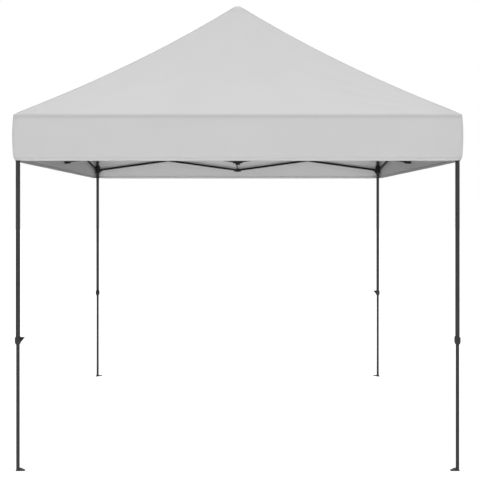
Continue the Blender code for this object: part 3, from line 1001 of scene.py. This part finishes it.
stitching(
    "canopy_hip_stitching",
    [
        hip_line(side, way * (HIP_TAPE_HALF - ROW_IN), ON_TAPE)
        for side in range(4)
        for way in (-1, 1)
    ],
)
stitching(
    "canopy_eave_stitching",
    [
        closed_line(valance_v(EAVE_TAPE_LOW - 4 * ROW_IN), ON_CLOTH),
        closed_line(valance_v(EAVE_TAPE_LOW - ROW_IN), ON_CLOTH),
    ],
)
stitching("canopy_hem_stitching", [closed_line(valance_v(VALANCE - HEM_HEIGHT + ROW_IN), 0.0006)])

# Frame pieces. Each takes the CAD solid's shape, with its edges eased as a mould or a press
# leaves them.


def eased(node, width, material, other=None, is_other=None):
    """The node's shape with eased edges. Faces whose middle passes is_other get the other
    material."""
    source = frame["nodes"][node]
    bm = bmesh.new()
    bm.from_mesh(source.data)
    bmesh.ops.remove_doubles(bm, verts=bm.verts, dist=5e-6)
    bmesh.ops.dissolve_limit(
        bm, angle_limit=math.radians(0.8), verts=bm.verts, edges=bm.edges
    )
    for face in bm.faces:
        face.material_index = int(bool(other) and is_other(face.calc_center_median()))
    mesh = mesh_from(bm, f"{node}_eased")
    mesh.materials.clear()
    mesh.materials.append(material)
    if other:
        mesh.materials.append(other)
    mesh.shade_smooth()
    mesh.set_sharp_from_angle(angle=math.radians(30))
    obj = new_object(f"{node}_eased", mesh)
    bevel = obj.modifiers.new("eased_edges", "BEVEL")
    bevel.width = width
    bevel.segments = 2
    bevel.limit_method = "ANGLE"
    bevel.angle_limit = math.radians(34)
    bevel.use_clamp_overlap = True
    bevel.harden_normals = True
    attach(obj, source["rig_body"])
    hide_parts(node)


TUBE_EDGE = 0.0006
MOULDED_EDGE = 0.0008
BUTTON_EDGE = 0.0004
BAR_EDGE = 0.0003
LOCK_TOP_Z = LOCK_BOTTOM_Z + LOCK_HEIGHT
FACE_MARGIN = 0.0005
CAP_LOW_Z = TOP_Z - CAP_UNDER_TOP - CAP_HEIGHT

for corner in CORNERS:
    eased(
        f"leg_tube_{corner}",
        TUBE_EDGE,
        POWDER_COAT,
        NYLON,
        lambda place: place.z < LOCK_TOP_Z + FACE_MARGIN,
    )
    eased(
        f"inner_leg_{corner}",
        TUBE_EDGE,
        POWDER_COAT,
        BLACK_PAINT,
        lambda place: place.z < FOOT_THICK + FACE_MARGIN,
    )
    eased(f"top_bracket_{corner}", MOULDED_EDGE, NYLON)
    eased(f"slider_{corner}", MOULDED_EDGE, NYLON)
    eased(f"lock_lever_{corner}", MOULDED_EDGE, NYLON)
    eased(f"slider_button_{corner}", BUTTON_EDGE, NYLON)
for side in SIDES:
    eased(f"upper_connector_{side}", MOULDED_EDGE, NYLON)
    eased(f"lower_connector_{side}", MOULDED_EDGE, NYLON)
    eased(f"truss_bar_plain_{side}", BAR_EDGE, SHADED_BAR_COAT)
    eased(f"truss_bar_riveted_{side}", BAR_EDGE, SHADED_BAR_COAT)
    for way in ("left", "right"):
        eased(f"side_bar_plain_{side}_{way}", BAR_EDGE, SHADED_BAR_COAT)
        eased(f"side_bar_riveted_{side}_{way}", BAR_EDGE, SHADED_BAR_COAT)
eased("hub_upper", MOULDED_EDGE, NYLON)
eased(
    "hub_lower",
    MOULDED_EDGE,
    NYLON,
    POWDER_COAT,
    lambda place: place.z > LOWER_PIN_Z + HUB_SHORT + FACE_MARGIN,
)
eased(
    "mast_head",
    TUBE_EDGE,
    POWDER_COAT,
    NYLON,
    lambda place: place.z > CAP_LOW_Z - FACE_MARGIN,
)

# Rivet heads at both ends of every pin

UP = Vector((0, 0, 1))
rivets = {}


def pin_ends(body, matrix, at, plane, face, axis="Y"):
    """Heads at both ends of a pin through at, across the plane of its bar."""
    across = Vector((0, 1, 0)) if axis == "Y" else Vector((1, 0, 0))
    for way in (-1, 1):
        place = Vector(at) + across * (plane + way * face)
        rivets.setdefault(body, []).append((matrix @ place, matrix.to_3x3() @ across * way, UP))


def hardware(name, body, points, tree, material, slot, **sizes):
    """A piece of repeated hardware on these points, which rides on the body."""
    obj = new_object(name, grown(name, guide_points(points), tree, material, **sizes))
    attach(obj, body)


for side, corner in enumerate(CORNERS):
    at = corner_frame(side)
    for body, z, plane in (
        (f"leg_{corner}", UPPER_PIN_Z, BAR_OFFSET),
        (f"slider_{corner}", LOWER_PIN_Z, -BAR_OFFSET),
    ):
        pin_ends(body, at, (PIN_OUT_LEG, 0, z), plane, EAR_FACE)
        pin_ends(body, at, (0, PIN_OUT_LEG, z), plane, EAR_FACE, "X")
    lever_pin = (LOCK_BLOCK / 2 + LEVER_PIN_OUT, 0, LOCK_TOP_Z - LEVER_PIN_UNDER_TOP)
    pin_ends(f"leg_{corner}", at, lever_pin, 0, LEVER_EAR_FACE)

for side, name in enumerate(SIDES):
    at = side_frame(side) @ Matrix.Translation((0, -LEG_AT, 0))
    for body, z, plane in (
        (f"upper_connector_{name}", UPPER_PIN_Z, -BAR_OFFSET),
        (f"lower_connector_{name}", LOWER_PIN_Z, BAR_OFFSET),
    ):
        pin_ends(body, at, (PIN_OUT_MID, 0, z), plane, EAR_FACE)
        pin_ends(body, at, (-PIN_OUT_MID, 0, z), plane, EAR_FACE)
        pin_ends(body, at, (0, PIN_OUT_MID, z), -plane, EAR_FACE, "X")
    middle_z = (UPPER_PIN_Z + LOWER_PIN_Z) / 2
    for way, half in ((-1, "left"), (1, "right")):
        middle = (way * (PIN_OUT_MID + SPAN / 2), 0, middle_z)
        pin_ends(f"side_bar_riveted_{name}_{half}", at, middle, 0, CROSSING_FACE)
    truss = truss_frame(side)
    middle = (PIN_OUT_LEG + SPAN / 2, 0, middle_z)
    pin_ends(f"truss_bar_riveted_{name}", truss, middle, 0, CROSSING_FACE)
    pin_ends("centre_hub", truss, (PIN_OUT_LEG, 0, UPPER_PIN_Z), BAR_OFFSET, EAR_FACE)
    pin_ends("lower_hub", truss, (PIN_OUT_LEG, 0, LOWER_PIN_Z), -BAR_OFFSET, EAR_FACE)

for body, points in rivets.items():
    hardware(f"rivet_heads_{body}", body, points, RIVETS, BLACK_PAINT, "frame_steel")

# Screws, ribs, welds and straps at each leg

BRACKET_FACE = LEG_BRACKET / 2
SCREW_Z = UPPER_PIN_Z - TOP_BRACKET_DEPTH / 2
RIB_PITCH = 0.005
SLIDER_RIBS = 9
LEVER_RIBS = 5
WELD_OUT = 0.0010
STRAP_Z = 2.262
STRAP_HEIGHT = 0.025
STRAP_HALF = LEG_TUBE / 2 + 0.0012


def screws_at(at, half, z):
    """A screw in each outer face of a block on the leg."""
    return [
        (at @ Vector((-half, 0, z)), at.to_3x3() @ Vector((-1, 0, 0)), UP),
        (at @ Vector((0, -half, z)), at.to_3x3() @ Vector((0, -1, 0)), UP),
    ]


def slider_ribs(at):
    """Grip ribs across the two outer faces of the slider."""
    points = []
    middle = LOWER_PIN_Z + (SLIDER_OVER - SLIDER_UNDER) / 2
    for number in range(SLIDER_RIBS):
        z = middle + (number - (SLIDER_RIBS - 1) / 2) * RIB_PITCH
        for out, across in (((-1, 0, 0), (0, 1, 0)), ((0, -1, 0), (1, 0, 0))):
            place = Vector(out) * BRACKET_FACE + Vector((0, 0, z))
            turn = at.to_3x3()
            points.append((at @ place, turn @ Vector(out), turn @ Vector(across)))
    return points


def lever_ribs(at):
    """Ridges across the sloping face that the thumb presses."""
    pin = Vector((LOCK_BLOCK / 2 + LEVER_PIN_OUT, 0, LOCK_TOP_Z - LEVER_PIN_UNDER_TOP))
    high = pin + Vector((LEVER_REACH - LEVER_PIN_OUT, 0, LEVER_PIN_UNDER_TOP - 0.002))
    low = pin + Vector((0.002 - LEVER_PIN_UNDER_TOP, 0, LEVER_PIN_UNDER_TOP - LEVER_DROP))
    slope = (high - low).normalized()
    out = Vector((slope.z, 0, -slope.x))
    turn = at.to_3x3()
    points = []
    for number in range(LEVER_RIBS):
        place = high.lerp(low, (number + 1) / (LEVER_RIBS + 3))
        points.append((at @ place, turn @ out, turn @ Vector((0, 1, 0))))
    return points


def square_line(at, half, corner, z):
    """A closed square line with round corners about the leg."""
    line = []
    for turn in range(4):
        for step in range(4):
            angle = math.radians(90 * turn + 30 * step)
            middle = Matrix.Rotation(math.radians(90 * turn), 3, "Z") @ Vector(
                (half - corner, half - corner, 0)
            )
            reach = Vector((corner * math.cos(angle), corner * math.sin(angle), z))
            line.append(at @ (middle + reach))
    return line + line[:1]


def strap(at, name):
    """A hook and loop strap from the canopy, closed round the leg under its top bracket."""
    low, high = STRAP_Z - STRAP_HEIGHT / 2, STRAP_Z + STRAP_HEIGHT / 2
    bm = bmesh.new()
    rings = [
        [bm.verts.new(place) for place in square_line(at, STRAP_HALF, 0.004, z)[:-1]]
        for z in (low, high)
    ]
    count = len(rings[0])
    for i in range(count):
        j = (i + 1) % count
        bm.faces.new((rings[0][i], rings[0][j], rings[1][j], rings[1][i]))
    tail = []
    for i in range(6):
        along = i / 5
        place = Vector((STRAP_HALF + 0.0016 + 0.004 * along**2, 0.010 - 0.026 * along, 0))
        tail.append([bm.verts.new(at @ (place + UP * z)) for z in (low, high)])
    for one, two in zip(tail, tail[1:]):
        bm.faces.new((two[0], one[0], one[1], two[1]))
    mesh = mesh_from(bm)
    shaded(mesh, HOOK_TAPE, 50)
    obj = new_object(f"canopy_strap_{name}", mesh)
    wall = obj.modifiers.new("tape_thickness", "SOLIDIFY")
    wall.thickness = 0.0014
    wall.offset = 1
    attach(obj, f"leg_{name}")


for side, corner in enumerate(CORNERS):
    at = corner_frame(side)
    leg = f"leg_{corner}"
    points = screws_at(at, BRACKET_FACE, SCREW_Z)
    points += screws_at(at, LOCK_BLOCK / 2, LOCK_BOTTOM_Z + LOCK_HEIGHT / 2 + 0.004)
    hardware(f"screws_{corner}", leg, points, SCREWS, BLACK_PAINT, "frame_steel")
    hardware(
        f"slider_ribs_{corner}",
        f"slider_{corner}",
        slider_ribs(at),
        RIBS,
        NYLON,
        "bracket_nylon",
        length=LEG_BRACKET - 0.010,
        width=0.0020,
        height=0.0014,
    )
    hardware(
        f"lever_ribs_{corner}",
        frame["nodes"][f"lock_lever_{corner}"]["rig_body"],
        lever_ribs(at),
        RIBS,
        NYLON,
        "control_nylon",
        length=LEVER_WIDTH - 0.002,
    )
    weld = square_line(at, INNER_TUBE / 2 + WELD_OUT, 0.003, FOOT_THICK + WELD_OUT / 2)
    name = f"foot_weld_{corner}"
    sizes = {"pitch": 0.0015, "bead_length": 0.0034, "bead_radius": 0.0016, "bead_sides": 8}
    obj = new_object(name, grown(name, guide_lines([weld]), BEADS, BLACK_PAINT, **sizes))
    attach(obj, frame["nodes"][f"inner_leg_{corner}"]["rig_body"])
    strap(at, corner)

# Floor, light and camera. The floor and the backdrop are white to the eye. The light comes from
# overhead, from in front and from behind, and little comes from the sides or from below.

floor_mesh = bmesh.new()
bmesh.ops.create_grid(floor_mesh, x_segments=1, y_segments=1, size=60)
floor = new_object("pale_floor", mesh_from(floor_mesh))
floor.visible_diffuse = False
material, tree = new_material("matt_white_floor")
bright = add_node(
    tree,
    "ShaderNodeBsdfPrincipled",
    {
        "Base Color": (0.25, 0.25, 0.25, 1.0),
        "Roughness": 0.9,
        "Specular IOR Level": 0.1,
        "Emission Color": colour("#FFFFFF"),
        "Emission Strength": 0.82,
    },
)
finish_material(tree, bright.outputs["BSDF"])
floor.data.materials.append(material)

TOP_LIGHT = 1.95
FRONT_HIGH_LIGHT = 0.10
FRONT_LOW_LIGHT = 5.60
BACK_LIGHT = 1.20
SIDE_LIGHT = 0.12
FLOOR_LIGHT = 0.45

scene = bpy.context.scene
scene.view_settings.view_transform = "Standard"
world = bpy.data.worlds.new("white_studio")
scene.world = world
world.use_nodes = True
world.node_tree.nodes.clear()
tree = world.node_tree
towards = add_node(
    tree,
    "ShaderNodeSeparateXYZ",
    {"Vector": add_node(tree, "ShaderNodeTexCoord").outputs["Generated"]},
).outputs


def share_of(value, low, high, kind="SMOOTHSTEP"):
    """How far the value has come from low to high, from 0 to 1."""
    sizes = {"Value": value, "From Min": low, "From Max": high}
    return add_node(tree, "ShaderNodeMapRange", sizes, interpolation_type=kind).outputs["Result"]


def mixed(share, one, two):
    sizes = {"Factor": share, "A": one, "B": two}
    return add_node(tree, "ShaderNodeMix", sizes, data_type="FLOAT").outputs["Result"]


depth = add_node(tree, "ShaderNodeMath", {0: towards["Y"]}, operation="ABSOLUTE").outputs[0]
squared = add_node(
    tree, "ShaderNodeMath", {0: towards["Y"], 1: depth}, operation="MULTIPLY"
).outputs[0]
front = mixed(share_of(towards["Z"], -0.14, -0.03), FRONT_LOW_LIGHT, FRONT_HIGH_LIGHT)
horizon = mixed(share_of(squared, 0.0, -1.0, "LINEAR"), SIDE_LIGHT, front)
horizon = mixed(share_of(squared, 0.0, 1.0, "LINEAR"), horizon, BACK_LIGHT)
light = mixed(share_of(towards["Z"], 0.1, 0.7), horizon, TOP_LIGHT)
light = mixed(share_of(towards["Z"], -0.45, -0.80), light, FLOOR_LIGHT)
eye = add_node(tree, "ShaderNodeLightPath").outputs["Is Camera Ray"]
background = add_node(
    tree, "ShaderNodeBackground", {"Color": (1, 1, 1, 1), "Strength": mixed(eye, light, 1.0)}
)
add_node(tree, "ShaderNodeOutputWorld", {"Surface": background.outputs["Background"]})

CAMERA_AWAY = 6.640
CAMERA_HEIGHT = 1.752
camera = bpy.data.objects.new("camera", bpy.data.cameras.new("camera"))
scene.collection.objects.link(camera)
camera.location = (0, -CAMERA_AWAY, CAMERA_HEIGHT)
camera.rotation_euler = (math.radians(90), 0, 0)
camera.data.lens = 57.9
camera.data.sensor_width = 36
camera.data.shift_x = 0.0048
camera.data.shift_y = -0.065
scene.camera = camera
